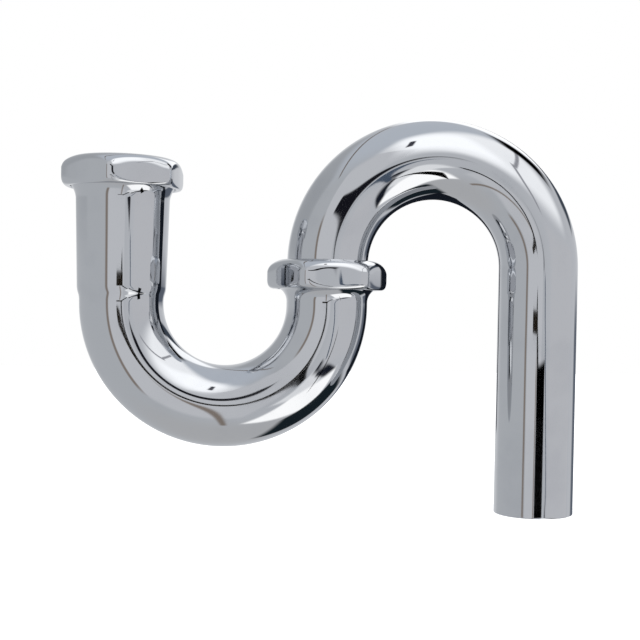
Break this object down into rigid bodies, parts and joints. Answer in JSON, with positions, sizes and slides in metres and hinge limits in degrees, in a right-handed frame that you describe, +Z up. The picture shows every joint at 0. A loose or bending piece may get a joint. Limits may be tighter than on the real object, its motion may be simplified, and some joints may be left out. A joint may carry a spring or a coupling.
{
  "type": "s trap",
  "caption": "Chromed tubular s trap for a basin waste: a J-bend and a return bend joined by a slip joint, with hexagonal slip nuts and a long straight outlet leg.",
  "frame": {"origin": "on the inlet's axis, at the top of the straight socket that takes the tailpiece", "axes": "+Z up along the inlet's axis, +X from the inlet towards the outlet leg, +Y to the back"},
  "size_m": [0.2432, 0.0574, 0.188],
  "materials": {
    "chrome": "polished",
    "brass": "satin",
    "rubber": "matt"
  },
  "bodies": {
    "j_bend": {"j_bend": "chrome", "inlet_slip_washer": "rubber", "middle_slip_washer": "rubber"},
    "outlet_bend": {"outlet_bend": "chrome"},
    "inlet_ring": {"inlet_friction_ring": "brass"},
    "inlet_nut": {"inlet_slip_nut": "chrome"},
    "middle_ring": {"middle_friction_ring": "brass"},
    "middle_nut": {"middle_slip_nut": "chrome"}
  },
  "joints": [
    {"name": "middle_swivel", "type": "hinge", "parent": "j_bend", "child": "outlet_bend", "pos_m": [0.095, 0, -0.0301], "axis": [0, 0, 1], "range_deg": [-145, 145]},
    {"name": "inlet_ring_lift", "type": "slide", "parent": "j_bend", "child": "inlet_ring", "axis": [0, 0, 1], "range_m": [0, 0.00552]},
    {"name": "inlet_nut_turn", "type": "hinge", "parent": "inlet_ring", "child": "inlet_nut", "pos_m": [0, 0, 0.0144], "axis": [0, 0, 1], "range_deg": [0, 900]},
    {"name": "middle_ring_lift", "type": "slide", "parent": "j_bend", "child": "middle_ring", "axis": [0, 0, 1], "range_m": [0, 0.00552]},
    {"name": "middle_nut_turn", "type": "hinge", "parent": "middle_ring", "child": "middle_nut", "pos_m": [0.095, 0, -0.0301], "axis": [0, 0, 1], "range_deg": [0, 900]}
  ],
  "couplings": [
    {"joint": "inlet_ring_lift", "follows": "inlet_nut_turn", "m_per_rad": 0.00035157},
    {"joint": "middle_ring_lift", "follows": "middle_nut_turn", "m_per_rad": 0.00035157}
  ]
}
